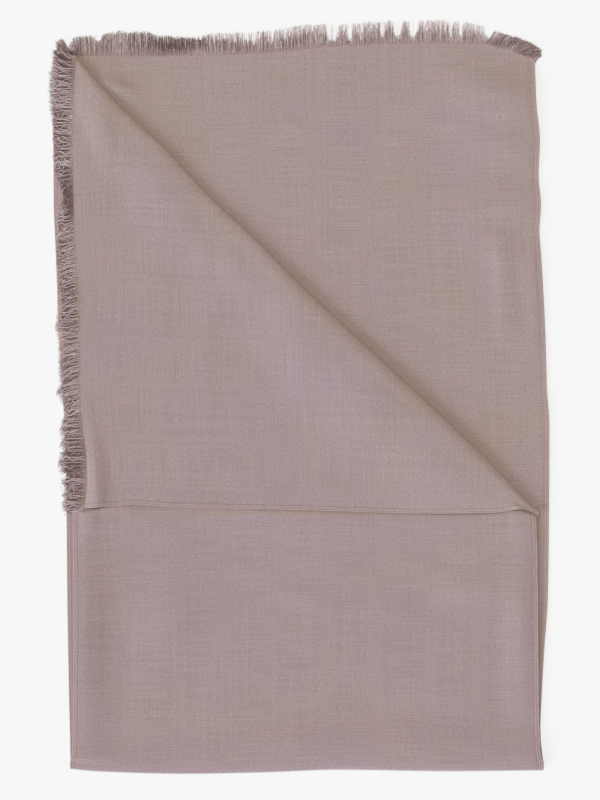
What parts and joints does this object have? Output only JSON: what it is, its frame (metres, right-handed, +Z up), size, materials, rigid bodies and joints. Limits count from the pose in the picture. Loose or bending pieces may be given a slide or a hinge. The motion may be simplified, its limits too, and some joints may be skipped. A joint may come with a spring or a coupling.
{
  "type": "pashmina shawl, folded and laid flat",
  "caption": "Plain woven shawl with frayed ends, folded once across its length and laid flat, with one corner of the upper layer turned down.",
  "frame": {"origin": "middle of the base of the folded shawl, on the surface it lies on", "axes": "+Z up from the surface, +Y from the bottom fold towards the fringed top edge, +X towards the viewer's right when seen from above with the fold at the bottom"},
  "size_m": [0.7272, 1.0932, 0.0108],
  "materials": {
    "cloth": "fine soft twill in dusty taupe, matte with a faint silky sheen, with a denser woven selvedge",
    "fringe": "loose frayed warp yarns of the same dusty taupe"
  },
  "bodies": {
    "root": {"back_stretch": "cloth", "front_stretch": "cloth", "turned_corner": "cloth", "back_fringe": "fringe", "corner_fringe": "fringe"}
  },
  "joints": []
}
